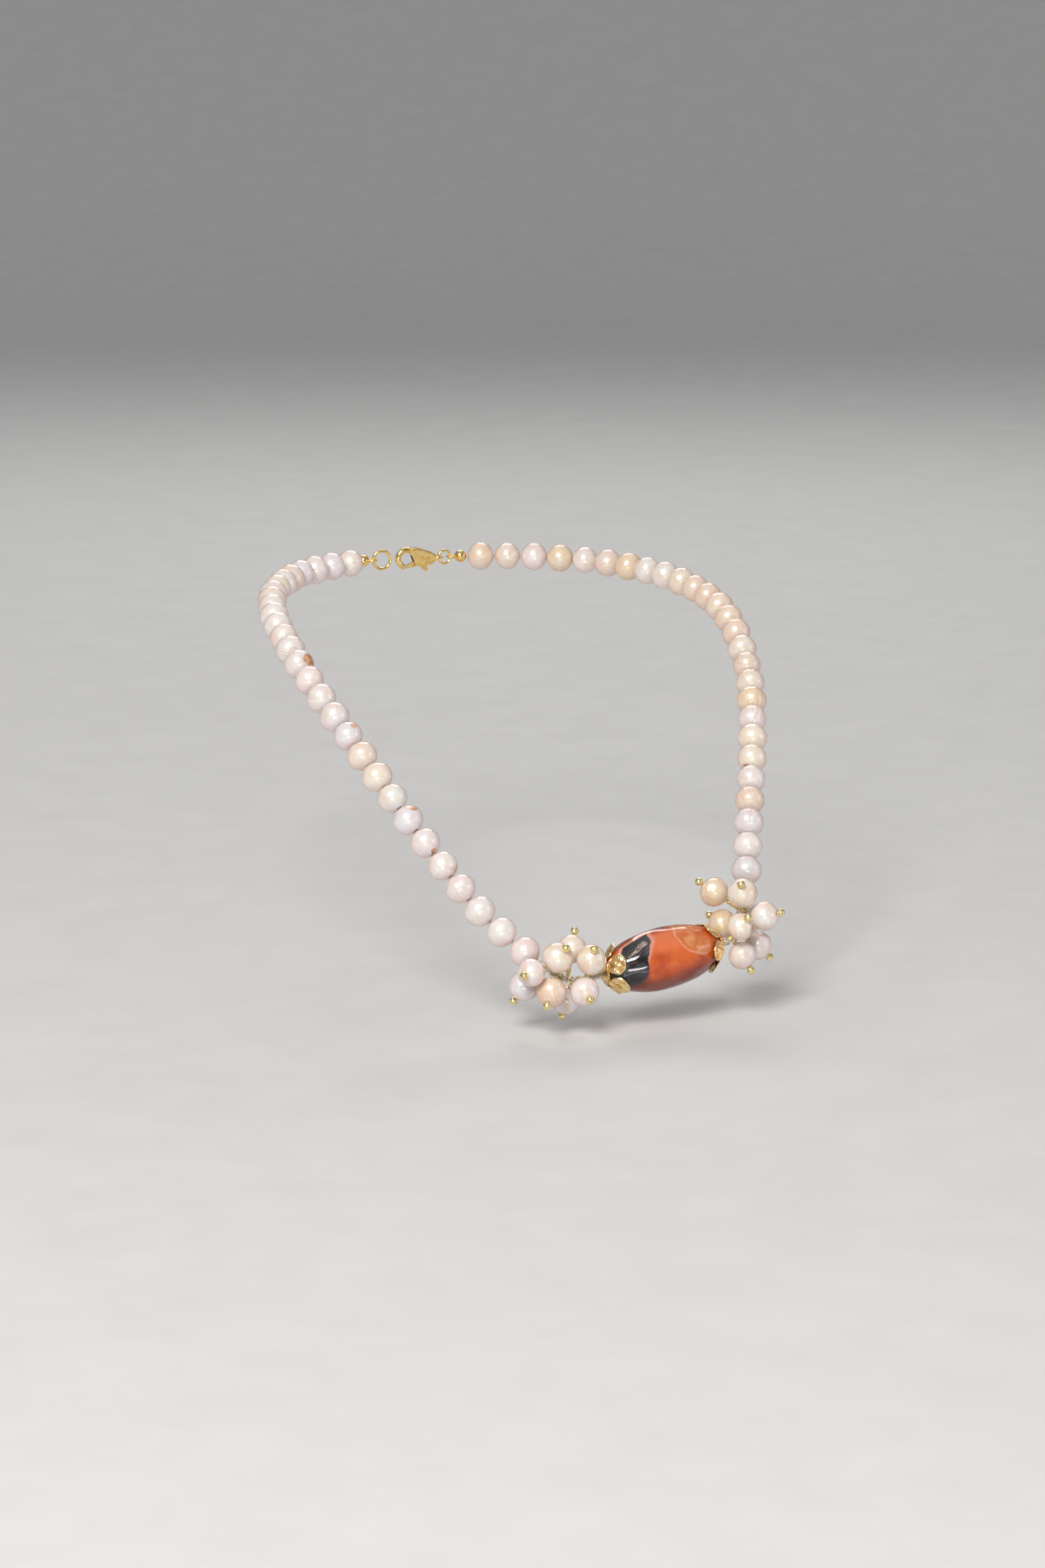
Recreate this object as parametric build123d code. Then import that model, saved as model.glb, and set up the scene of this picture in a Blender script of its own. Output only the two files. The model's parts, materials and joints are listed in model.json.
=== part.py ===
"""Pearl necklace: a strung pearl strand with an agate barrel bead between two pearl clusters.

Frame: millimetres, X to the wearer's left, Y towards the nape, Z up. The origin is the centre of
the neck opening, level with the clasp. "left" and "right" are as seen from the front, so left is -X.
"""

from build123d import *
from math import cos, pi, radians, sin, tan
import os

# Strand
THREAD_D = 0.5
STRAND_BORE_D = 1.0
STRAND_GAP = 0.3
STRAND_PEARLS = [  # diameter, length along the thread; the six repeat along each side
    (7.5, 7.0),
    (7.3, 6.8),
    (7.6, 7.0),
    (7.4, 6.9),
    (7.2, 6.8),
    (7.5, 7.0),
]
DRILL_FLAT = 0.2  # width of the flat rim round a drilled hole
LEFT_GROUPS = [4, 4, 4, 4, 4, 3, 3, 3]
RIGHT_GROUPS = [4, 4, 4, 4, 4, 4, 3]

# Pendant bead and its flower caps
AGATE_LENGTH = 28.6
# Outline of the barrel: distance from its middle, radius there.
AGATE_PROFILE = [(0.0, 7.4), (4.0, 7.12), (8.0, 6.2), (11.5, 4.7), (14.3, 2.5)]
AGATE_BORE_D = 1.2
PENDANT_OFFSET = 23.9  # from the route's first left point to the middle of the agate bead
CAP_GAP = 0.15
CAP_PLATE_D = 5.6
CAP_PLATE_T = 0.6
CAP_BORE_D = 1.0
PETALS = 5
PETAL_LENGTH = 5.4
PETAL_WIDTH = 5.0
PETAL_T = 0.45
PETAL_OPENING = 45.0  # degrees between a petal and the bead's axis
PETAL_ROOT_R = 2.5
LEFT_CAP_TURN = 35.0
RIGHT_CAP_TURN = 5.0

# Cluster drops: a pearl on a headpin whose loop rides on the thread
PIN_D = 0.5
PIN_BORE_D = 0.8
PIN_HEAD_D = 2.0
LOOP_R = 0.78
COLLAR_D = 1.2
CORE_BEAD_D = 2.0
CORE_BEAD_GAP = 0.25
CORE_BEAD_LEAST = 0.8  # a shorter space between two loops gets no bead
PEARL_ROUNDNESS = 0.95  # length over diameter of a cluster pearl

# Distance from the cap, angle about the thread from straight up, lean along the thread,
# reach from the thread to the pearl's centre, pearl diameter.
LEFT_DROPS = [
    (4.5, -43, 0, 8.0, 7.4),
    (6.8, -104, 0, 5.8, 7.0),
    (8.0, 160, 0, 5.6, 7.2),
    (9.2, 24, 0, 7.4, 7.2),
    (11.9, -129, 0, 5.6, 7.4),
    (14.4, -40, 3, 5.4, 7.5),
    (15.6, -102, 18, 7.3, 6.6),
    (16.8, 178, -2, 6.8, 7.2),
]
RIGHT_DROPS = [
    (2.2, 50, 13, 6.8, 6.6),
    (3.5, 138, -7, 4.7, 6.9),
    (5.5, -74, 12, 5.3, 7.2),
    (7.0, 150, 0, 6.0, 7.0),
    (9.8, 67, 0, 5.8, 7.2),
    (12.2, -58, 16, 8.8, 7.2),
    (13.5, -1, -8, 7.5, 7.3),
    (14.8, 174, -3, 5.9, 7.0),
]
LEFT_FIRST_PEARL = 21.2  # cap to the centre of the first strand pearl, along the thread
RIGHT_FIRST_PEARL = 24.6

# Route of the thread, chosen by hand, from the pendant bead outwards on each side.
LEFT_ROUTE = [
    (-18.4, -107.8, -77.6),
    (-25.2, -106.2, -72.8),
    (-36.3, -96.5, -62.2),
    (-47.5, -78.1, -43.1),
    (-55.2, -56.4, -26.2),
    (-60.3, -32.0, -12.0),
    (-58.6, -4.6, -4.2),
    (-50.6, 22.6, -1.5),
    (-35.0, 46.0, -0.7),
    (-14.6, 57.8, -0.5),
]
RIGHT_ROUTE = [
    (25.2, -106.6, -70.5),
    (28.4, -102.0, -65.8),
    (36.2, -85.3, -48.9),
    (46.3, -64.0, -32.4),
    (55.3, -40.8, -18.6),
    (59.4, -15.2, -6.6),
    (56.9, 12.5, -2.2),
    (46.8, 38.0, -1.0),
    (30.0, 52.8, -0.6),
    (12.6, 57.8, -0.5),
]

# Clasp, on a line parallel to X at the nape
NAPE_X = -1.0
NAPE_Y = 57.8
NAPE_Z = -0.5
TIP_D = 3.2
TIP_WALL = 0.4
TIP_X = 13.6
EYE_R = 1.1
EYE_WIRE_D = 0.6
LINK_SLACK = 0.2
END_RING_R = 2.4
END_RING_WIRE_D = 0.8
CLASP_RING_R = 1.7
CLASP_RING_WIRE_D = 0.7
HOOK_R = 2.3
HOOK_WIRE_D = 1.5
CLASP_T = 2.4
LEVER_T = 0.9
LEVER_SLOT = 1.5
RIVET_D = 0.8
RIVET_CLEARANCE = 0.04
LEVER_PIVOT = (4.2, -0.9)  # from the hook's centre, along X and Z
UNHOOKED_GAP = 1.0  # between the end ring and the open clasp's hook
RIVET_STANDS = 0.3  # how much longer the rivet is than the clasp is thick
SPRING_WIRE_D = 0.2
SPRING_CLEARANCE = 0.06
SPRING_LEG = 1.3
KNOT_D = 1.2

FROM_BASE = (Align.CENTER, Align.CENTER, Align.MIN)


def corner_radii(points):
    """Largest tangent arc at each inner corner, from 0.45 of the shorter run beside it."""
    radii = []
    for before, here, after in zip(points, points[1:], points[2:]):
        run_in = Vector(here) - Vector(before)
        run_out = Vector(after) - Vector(here)
        half_turn = radians(run_in.get_angle(run_out)) / 2
        radii.append(0.45 * min(run_in.length, run_out.length) / tan(half_turn))
    return radii


ROUTE_POINTS = LEFT_ROUTE[::-1] + RIGHT_ROUTE
ROUTE = FilletPolyline(*ROUTE_POINTS, radius=corner_radii(ROUTE_POINTS))
PENDANT_AXIS = (Vector(RIGHT_ROUTE[0]) - Vector(LEFT_ROUTE[0])).normalized()
PENDANT_CENTRE = Vector(LEFT_ROUTE[0]) + PENDANT_AXIS * PENDANT_OFFSET


def length_at(point):
    """Distance along the route, from its left end, of the nearest point of the route."""
    return ROUTE.param_at_point(point) * ROUTE.length


CAP_FACE = AGATE_LENGTH / 2 + CAP_GAP + CAP_PLATE_T
START = {
    "left": length_at(PENDANT_CENTRE - PENDANT_AXIS * CAP_FACE),
    "right": length_at(PENDANT_CENTRE + PENDANT_AXIS * CAP_FACE),
}
OUTWARD = {"left": -1, "right": 1}


def on_route(side, distance):
    """Point and outward direction at a distance along the thread from the cap on that side."""
    along = START[side] + OUTWARD[side] * distance
    point = ROUTE.position_at(along, position_mode=PositionMode.LENGTH)
    direction = ROUTE.tangent_at(along, position_mode=PositionMode.LENGTH) * OUTWARD[side]
    return point, direction


def drilled(arc, bore):
    """Solid about Z whose outline is the arc, from its lower end to its upper one, with a drilled hole."""
    with BuildPart() as part:
        with BuildSketch(Plane.XZ):
            with BuildLine():
                add(arc)
                Polyline(arc @ 1, (bore / 2, (arc @ 1).Y), (bore / 2, (arc @ 0).Y), arc @ 0)
            make_face()
        revolve(axis=Axis.Z)
    return part.part


def bead(diameter, length, bore):
    """Round or slightly flattened bead about Z, centred on the origin."""
    rim = bore / 2 + DRILL_FLAT
    return drilled(ThreePointArc((rim, -length / 2), (diameter / 2, 0), (rim, length / 2)), bore)


def ring(radius, wire_d):
    """Closed wire ring about Z, centred on the origin."""
    return Torus(radius, wire_d / 2)


def strand_stations(first_pearl, counts):
    """Distance, diameter and length of each strand pearl, group by group."""
    groups = []
    distance = first_pearl
    number = 0
    for count in counts:
        group = []
        for _ in range(count):
            diameter, length = STRAND_PEARLS[number % len(STRAND_PEARLS)]
            if number:
                distance += length / 2
            group.append((distance, diameter, length))
            distance += length / 2 + STRAND_GAP
            number += 1
        groups.append(group)
    return groups


def drop_plane(side, distance, angle, lean):
    """Plane at a headpin's loop: z along the pin, x the loop's hole, close to the thread."""
    point, thread = on_route(side, distance)
    up = (Vector(0, 0, 1) - thread * thread.Z).normalized()
    across = thread.cross(up)
    turn, tilt = radians(angle), radians(lean)
    pin = (up * cos(turn) + across * sin(turn)) * cos(tilt) + thread * sin(tilt)
    hole = (thread - pin * thread.dot(pin)).normalized()
    return Plane(point, x_dir=hole, z_dir=pin)


def headpin(reach, diameter):
    """Headpin: loop about the thread, wrapped neck, shank and ball head, along Z."""
    pearl_half = diameter * PEARL_ROUNDNESS / 2
    head_z = reach + pearl_half + PIN_HEAD_D / 2 - 0.02
    shank = Pos(0, 0, LOOP_R) * Cylinder(PIN_D / 2, head_z - LOOP_R, align=FROM_BASE)
    neck_bottom = LOOP_R + PIN_D / 2
    neck = Pos(0, 0, neck_bottom) * Cylinder(
        COLLAR_D / 2, reach - pearl_half - 0.1 - neck_bottom, align=FROM_BASE
    )
    loop = Rot(0, 90, 0) * ring(LOOP_R, PIN_D)
    return loop + shank + neck + Pos(0, 0, head_z) * Sphere(PIN_HEAD_D / 2)


def agate_bead():
    """Barrel bead about Z, flat at its drilled ends."""
    upper = [(radius, height) for height, radius in AGATE_PROFILE]
    lower = [(radius, -height) for radius, height in upper[:0:-1]]
    return drilled(Spline(*lower, *upper), AGATE_BORE_D)


def flower_cap(turn):
    """Flower cap about Z: a drilled plate whose petals reach towards -Z over the bead's end."""
    plate = Cylinder(CAP_PLATE_D / 2, CAP_PLATE_T)
    petal = extrude(Ellipse(PETAL_LENGTH / 2, PETAL_WIDTH / 2), PETAL_T / 2, both=True)
    for number in range(PETALS):
        reach = Pos(PETAL_ROOT_R, 0, 0) * Rot(0, 90 - PETAL_OPENING, 0) * Pos(PETAL_LENGTH / 2, 0, 0)
        plate += Rot(0, 0, turn + 360 * number / PETALS) * reach * petal
    return plate - Cylinder(CAP_BORE_D / 2, 10 * CAP_PLATE_T)


def core_beads(side, drops, first_pearl):
    """Small spacer beads that fill the wider gaps between the headpin loops."""
    stations = [0.0] + [drop[0] for drop in drops] + [first_pearl - STRAND_PEARLS[0][1] / 2]
    beads = []
    for here, there in zip(stations, stations[1:]):
        room = there - here - PIN_D - 2 * CORE_BEAD_GAP
        if room > CORE_BEAD_LEAST:
            point, direction = on_route(side, (here + there) / 2)
            beads.append(Plane(point, z_dir=direction) * bead(CORE_BEAD_D, room, CAP_BORE_D))
    return beads


def at_nape(x):
    return Pos(NAPE_X + x, NAPE_Y, NAPE_Z)


def bead_tip(thread_direction, eye_side):
    """Clamshell that hides the end knot, centred on its shell, with an eye on the clasp's side."""
    shell = Sphere(TIP_D / 2) - Sphere(TIP_D / 2 - TIP_WALL)
    hole = Cylinder(STRAND_BORE_D / 2, TIP_D, align=FROM_BASE)
    eye_x = TIP_D / 2 + EYE_R - EYE_WIRE_D / 4
    shell -= Plane((0, 0, 0), z_dir=thread_direction) * hole
    return shell + Pos(eye_side * eye_x, 0, 0) * ring(EYE_R, EYE_WIRE_D)


# Places along the nape line, from the clasp's middle.
EYE_X = TIP_X - TIP_D / 2 - EYE_R + EYE_WIRE_D / 4
END_RING_X = -EYE_X + LINK_SLACK + END_RING_R
CLASP_RING_X = EYE_X - LINK_SLACK - CLASP_RING_R
CLASP_EYE_X = CLASP_RING_X - CLASP_RING_R - LINK_SLACK
HOOK_X = END_RING_X + END_RING_R + END_RING_WIRE_D / 2 + UNHOOKED_GAP + HOOK_R + HOOK_WIRE_D / 2
PIVOT = Pos(LEVER_PIVOT[0], 0, LEVER_PIVOT[1])
ACROSS = Rot(90, 0, 0)  # turns a shape about Z to lie along the clasp's cross pin


def clasp_outline(*points):
    """Closed outline in the clasp's XZ plane, about the hook's centre."""
    return make_face(Polyline(*points, close=True))


def slab(face, thickness):
    """Plate of the given thickness, centred on the clasp's plane."""
    return extrude(Plane.XZ * face, thickness / 2, both=True)


def clasp_body():
    """Lobster clasp body: hook, hollow back and eye, about the hook's centre."""
    arc = Edge.make_circle(HOOK_R, Plane.XZ, 60, 245)
    section = Plane(arc @ 0, z_dir=arc % 0) * Circle(HOOK_WIRE_D / 2)
    hook = sweep(section, arc) + Pos(*(arc @ 1)) * Sphere(HOOK_WIRE_D / 2)
    top = [(0.9, 2.75), (3.0, 3.0), (6.6, 1.7), (8.5, 0.5)]
    bottom = [(8.5, -0.5), (6.4, -1.9), (2.4, -2.0), (1.2, 1.2)]
    back = slab(clasp_outline(*top, *bottom), CLASP_T)
    faces = back.edges().group_by(Axis.Y)
    back = fillet(faces[0] + faces[-1], 0.4)
    pocket = slab(clasp_outline((0.0, 0.9), (6.0, 0.9), (6.0, -4.0), (0.0, -4.0)), LEVER_SLOT)
    eye_x = CLASP_EYE_X - HOOK_X
    eye = Pos(eye_x, 0, 0) * ring(EYE_R, EYE_WIRE_D)
    body = hook + (back - pocket) + eye
    return body - PIVOT * ACROSS * Cylinder(RIVET_D / 2, 2 * CLASP_T)


def clasp_lever():
    """Sprung lever that closes the hook, with a thumb tab behind its pivot."""
    nose_and_tab = [(0.05, -2.6), (3.4, -1.9), (5.2, -3.5), (5.9, -3.3)]
    heel = [(5.6, -1.4), (5.2, -0.1), (3.9, -0.1), (0.05, -1.65)]
    face = clasp_outline(*nose_and_tab, *heel)
    lever = slab(face, LEVER_T)
    bore = Cylinder(RIVET_D / 2 + RIVET_CLEARANCE, 2 * CLASP_T)
    return lever - PIVOT * ACROSS * bore


def clasp_rivet():
    """Cross pin on which the lever turns."""
    return PIVOT * ACROSS * Cylinder(RIVET_D / 2, CLASP_T + RIVET_STANDS)


def clasp_spring():
    """Torsion spring beside the lever: one coil about the rivet and a leg each way."""
    beside_lever = Pos(0, (LEVER_SLOT + LEVER_T) / 4, 0)
    coil_r = RIVET_D / 2 + SPRING_WIRE_D / 2 + SPRING_CLEARANCE
    coil = ACROSS * ring(coil_r, SPRING_WIRE_D)
    leg = Cylinder(SPRING_WIRE_D / 2, SPRING_LEG, align=FROM_BASE)
    legs = Pos(coil_r, 0, 0) * leg + Pos(0, 0, coil_r) * Rot(0, -90, 0) * leg
    return PIVOT * beside_lever * (coil + legs)


def beading_thread():
    """Whole thread along the route, with the knots inside the bead tips."""
    section = Plane(ROUTE @ 0, z_dir=ROUTE % 0) * Circle(THREAD_D / 2)
    thread = sweep(section, ROUTE)
    for end in (ROUTE @ 0, ROUTE @ 1):
        thread += Pos(*end) * Sphere(KNOT_D / 2)
    return thread


def clasp_nodes():
    """Nodes at the nape: bead tips, rings and the clasp."""
    hook = at_nape(HOOK_X)
    return {
        "left_bead_tip": at_nape(-TIP_X) * bead_tip(ROUTE % 0, 1),
        "right_bead_tip": at_nape(TIP_X) * bead_tip(-(ROUTE % 1), -1),
        "end_ring": at_nape(END_RING_X) * ACROSS * ring(END_RING_R, END_RING_WIRE_D),
        "clasp_ring": at_nape(CLASP_RING_X) * ACROSS * ring(CLASP_RING_R, CLASP_RING_WIRE_D),
        "clasp_body": hook * clasp_body(),
        "clasp_lever": hook * clasp_lever(),
        "clasp_rivet": hook * clasp_rivet(),
        "clasp_spring": hook * clasp_spring(),
    }


def pendant_nodes():
    """Nodes of the agate bead, its caps and the two clusters."""
    facing = Plane(PENDANT_CENTRE, x_dir=(0, -1, 0), z_dir=PENDANT_AXIS)
    plate = AGATE_LENGTH / 2 + CAP_GAP + CAP_PLATE_T / 2
    nodes = {
        "agate_bead": facing * agate_bead(),
        "left_flower_cap": facing * Pos(0, 0, -plate) * Rot(180, 0, 0) * flower_cap(LEFT_CAP_TURN),
        "right_flower_cap": facing * Pos(0, 0, plate) * flower_cap(RIGHT_CAP_TURN),
    }
    left_cores = core_beads("left", LEFT_DROPS, LEFT_FIRST_PEARL)
    right_cores = core_beads("right", RIGHT_DROPS, RIGHT_FIRST_PEARL)
    nodes["cluster_core_beads"] = Compound(left_cores + right_cores)
    for side, drops in (("left", LEFT_DROPS), ("right", RIGHT_DROPS)):
        for number, (distance, angle, lean, reach, diameter) in enumerate(drops, 1):
            place = drop_plane(side, distance, angle, lean)
            pearl = Pos(0, 0, reach) * bead(diameter, diameter * PEARL_ROUNDNESS, PIN_BORE_D)
            nodes[f"{side}_cluster_pearl_{number}"] = place * pearl
            nodes[f"{side}_headpin_{number}"] = place * headpin(reach, diameter)
    return nodes


def strand_nodes():
    """Nodes of the strand pearls, one for each stretch between two joints."""
    nodes = {}
    for side, first, counts in (
        ("left", LEFT_FIRST_PEARL, LEFT_GROUPS),
        ("right", RIGHT_FIRST_PEARL, RIGHT_GROUPS),
    ):
        for number, group in enumerate(strand_stations(first, counts), 1):
            pearls = []
            for distance, diameter, length in group:
                point, direction = on_route(side, distance)
                pearls.append(Plane(point, z_dir=direction) * bead(diameter, length, STRAND_BORE_D))
            nodes[f"{side}_strand_pearls_{number}"] = Compound(pearls)
    return nodes


def main():
    os.makedirs("parts", exist_ok=True)
    nodes = {"beading_thread": beading_thread()}
    nodes.update(pendant_nodes())
    nodes.update(strand_nodes())
    nodes.update(clasp_nodes())
    for name, shape in nodes.items():
        export_step(shape, f"parts/{name}.step")
    plain_volume = pi * THREAD_D**2 / 4 * ROUTE.length
    print("nodes", len(nodes), "thread length", round(ROUTE.length, 1))
    print("thread volume over section times length", nodes["beading_thread"].volume / plain_volume)


if __name__ == "__main__":
    main()
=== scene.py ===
"""Pearl necklace: the visual model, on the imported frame.

The pieces are worked out in millimetres until add_piece() makes them metres. The camera, the lights
and the floor are in metres.
"""

import bmesh
import bpy
import json
import math
import numpy as np
import random
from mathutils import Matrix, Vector


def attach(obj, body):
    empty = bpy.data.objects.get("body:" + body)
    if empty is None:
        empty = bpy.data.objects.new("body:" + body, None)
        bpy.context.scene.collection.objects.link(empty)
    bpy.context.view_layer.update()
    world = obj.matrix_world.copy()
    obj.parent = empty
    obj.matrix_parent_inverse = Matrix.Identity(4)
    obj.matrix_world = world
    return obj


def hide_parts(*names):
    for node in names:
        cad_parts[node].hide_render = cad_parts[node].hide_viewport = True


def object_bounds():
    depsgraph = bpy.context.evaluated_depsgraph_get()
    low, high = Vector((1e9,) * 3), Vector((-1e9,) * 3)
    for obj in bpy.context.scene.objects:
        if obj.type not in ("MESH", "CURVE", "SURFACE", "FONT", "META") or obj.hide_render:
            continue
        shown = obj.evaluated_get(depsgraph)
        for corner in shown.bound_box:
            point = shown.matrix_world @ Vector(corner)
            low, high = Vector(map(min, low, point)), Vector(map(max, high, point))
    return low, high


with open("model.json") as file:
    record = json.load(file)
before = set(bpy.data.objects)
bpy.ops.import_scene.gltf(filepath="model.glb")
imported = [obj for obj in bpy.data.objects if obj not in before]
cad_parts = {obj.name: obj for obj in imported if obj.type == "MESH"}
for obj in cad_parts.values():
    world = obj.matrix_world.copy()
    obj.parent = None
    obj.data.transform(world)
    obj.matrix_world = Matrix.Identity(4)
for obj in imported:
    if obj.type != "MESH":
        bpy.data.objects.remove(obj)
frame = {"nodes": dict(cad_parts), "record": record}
CAD_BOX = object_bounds()
MM = 0.001

# ------------ camera, light and floor

VIEW_AZIMUTH, VIEW_ELEVATION = math.radians(-20), math.radians(11)
VIEW_CENTRE = Vector((-26.10, -97.31, -31.73)) * MM
VIEW_DISTANCE = 1.0
VIEW_LENS = 98.67
LIGHT_TARGET = Vector((0.0, -0.06, -0.05))
FLOOR_GAP = 0.0025  # between the necklace and the floor
TO_CAMERA = Vector(
    (
        math.sin(VIEW_AZIMUTH) * math.cos(VIEW_ELEVATION),
        -math.cos(VIEW_AZIMUTH) * math.cos(VIEW_ELEVATION),
        math.sin(VIEW_ELEVATION),
    )
)


def make_camera():
    camera = bpy.data.objects.new("camera", bpy.data.cameras.new("camera"))
    bpy.context.scene.collection.objects.link(camera)
    camera.location = VIEW_CENTRE + TO_CAMERA * VIEW_DISTANCE
    camera.rotation_euler = TO_CAMERA.to_track_quat("Z", "Y").to_euler()
    camera.data.sensor_width = 36.0
    camera.data.lens = VIEW_LENS
    camera.data.clip_start, camera.data.clip_end = 0.01, 200.0
    bpy.context.scene.camera = camera


def softbox(name, at, size, power, colour):
    light = bpy.data.lights.new(name, "AREA")
    light.shape, light.size, light.size_y = "RECTANGLE", size[0], size[1]
    light.energy, light.color = power, colour
    lamp = bpy.data.objects.new(name, light)
    bpy.context.scene.collection.objects.link(lamp)
    lamp.location = LIGHT_TARGET + Vector(at)
    lamp.rotation_euler = Vector(at).to_track_quat("Z", "Y").to_euler()


def make_studio():
    world = bpy.data.worlds.new("studio")
    bpy.context.scene.world = world
    world.use_nodes = True
    tree = world.node_tree
    place = tree.nodes.new("ShaderNodeTexCoord")
    split = tree.nodes.new("ShaderNodeSeparateXYZ")
    tree.links.new(place.outputs["Generated"], split.inputs[0])
    sky = [(0.0, (0.35, 0.35, 0.36)), (0.4, (0.40, 0.40, 0.41)), (1.0, (0.90, 0.90, 0.92))]
    background = tree.nodes["Background"]
    tree.links.new(ramp(tree, split.outputs["Z"], sky), background.inputs["Color"])
    background.inputs["Strength"].default_value = 0.5
    softbox("key", (-0.70, -0.95, 0.95), (0.58, 0.58), 19.0, (1.0, 0.975, 0.94))
    softbox("fill", (1.0, -0.75, 0.30), (0.5, 0.5), 1.4, (0.96, 0.97, 1.0))
    softbox("low", (-0.30, -1.1, -0.01), (0.30, 0.08), 1.3, (1.0, 0.96, 0.91))
    softbox("back", (0.35, 1.0, 0.8), (0.7, 0.4), 3.6, (1.0, 0.99, 0.97))


def make_floor():
    """A round floor that sweeps up into a low wall, far enough out to be seamless from any side."""
    radius, sweep, wall, segments = 1.8, 1.1, 0.7, 96
    height = CAD_BOX[0].z - FLOOR_GAP
    profile = [(0.0, 0.0), (radius * 0.5, 0.0), (radius, 0.0)]
    for u in np.radians(np.arange(7.5, 91, 7.5)):
        profile.append((radius + sweep * math.sin(u), sweep * (1 - math.cos(u))))
    profile.append((radius + sweep, sweep + wall))
    turn = np.linspace(0, 2 * math.pi, segments, endpoint=False)
    points = [(0.0, 0.0, height)]
    for r, z in profile[1:]:
        points += [(r * math.cos(u), r * math.sin(u), height + z) for u in turn]
    faces = [(0, 1 + i, 1 + (i + 1) % segments) for i in range(segments)]
    faces += (grid_faces(len(profile) - 1, segments) + 1).tolist()
    mesh = bpy.data.meshes.new("floor")
    mesh.from_pydata(points, [], faces)
    mesh.polygons.foreach_set("use_smooth", [True] * len(mesh.polygons))
    floor = bpy.data.objects.new("floor", mesh)
    bpy.context.scene.collection.objects.link(floor)
    mat, tree, shader = material("floor_paper")
    grain = noise(tree, object_place(tree, 1.0), 60.0, 4)
    paper = ramp(tree, grain, [(0.3, (0.64, 0.64, 0.635)), (0.7, (0.67, 0.67, 0.665))])
    tree.links.new(paper, shader.inputs["Base Color"])
    shader.inputs["Roughness"].default_value = 0.85
    mesh.materials.append(mat)


# ------------ node helpers


def material(name):
    mat = bpy.data.materials.new(name)
    mat.use_nodes = True
    shader = mat.node_tree.nodes["Principled BSDF"]
    return mat, mat.node_tree, shader


def link(tree, value, socket):
    """Joins an output to a socket, or sets the socket to a plain value."""
    if isinstance(value, bpy.types.NodeSocket):
        tree.links.new(value, socket)
    elif isinstance(value, tuple) and len(value) == 3 and socket.type == "RGBA":
        socket.default_value = (*value, 1.0)
    else:
        socket.default_value = value


def attribute(tree, name, output="Fac"):
    node = tree.nodes.new("ShaderNodeAttribute")
    node.attribute_name = name
    return node.outputs[output]


def object_place(tree, scale):
    """The object's own coordinates, which are the row frame's, times scale."""
    place = tree.nodes.new("ShaderNodeTexCoord")
    grow = tree.nodes.new("ShaderNodeVectorMath")
    grow.operation = "SCALE"
    tree.links.new(place.outputs["Object"], grow.inputs[0])
    grow.inputs["Scale"].default_value = scale
    return grow.outputs[0]


def noise(tree, place, scale, detail=3, seed=None, distortion=0.0):
    node = tree.nodes.new("ShaderNodeTexNoise")
    node.noise_dimensions = "3D" if seed is None else "4D"
    link(tree, place, node.inputs["Vector"])
    if seed is not None:
        link(tree, seed, node.inputs["W"])
    node.inputs["Scale"].default_value = scale
    node.inputs["Detail"].default_value = detail
    node.inputs["Distortion"].default_value = distortion
    return node.outputs["Fac"]


def ramp(tree, value, stops):
    """Colour or grey by value; each stop is (position, grey or colour)."""
    node = tree.nodes.new("ShaderNodeValToRGB")
    link(tree, value, node.inputs["Fac"])
    elements = node.color_ramp.elements
    while len(elements) < len(stops):
        elements.new(0.5)
    for element, (position, colour) in zip(elements, stops):
        element.position = position
        element.color = (*colour, 1.0) if isinstance(colour, tuple) else (colour, colour, colour, 1.0)
    return node.outputs["Color"]


def mix(tree, amount, a, b):
    node = tree.nodes.new("ShaderNodeMix")
    node.data_type, node.blend_type = "RGBA", "MIX"
    link(tree, amount, node.inputs[0])
    link(tree, a, node.inputs[6])
    link(tree, b, node.inputs[7])
    return node.outputs[2]


def maths(tree, operation, a, b):
    node = tree.nodes.new("ShaderNodeMath")
    node.operation = operation
    link(tree, a, node.inputs[0])
    link(tree, b, node.inputs[1])
    return node.outputs[0]


def bump(tree, height, strength, distance):
    node = tree.nodes.new("ShaderNodeBump")
    link(tree, height, node.inputs["Height"])
    node.inputs["Strength"].default_value = strength
    node.inputs["Distance"].default_value = distance
    return node.outputs["Normal"]


def linear(colour):
    """A display colour as the linear colour that a shader takes."""
    return tuple(c / 12.92 if c <= 0.04045 else ((c + 0.055) / 1.055) ** 2.4 for c in colour)


def tones(tree, value, stops):
    """A ramp of display colours; each stop is (position, colour)."""
    return ramp(tree, value, [(position, linear(colour)) for position, colour in stops])


def paint(tree, body, zones):
    """Lays display colours over body, each by the attribute that it is named for."""
    for zone, colour in zones.items():
        body = mix(tree, attribute(tree, zone), body, linear(colour))
    return body


def set_inputs(shader, values):
    for name, value in values.items():
        shader.inputs[name].default_value = value


# ------------ materials


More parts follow.
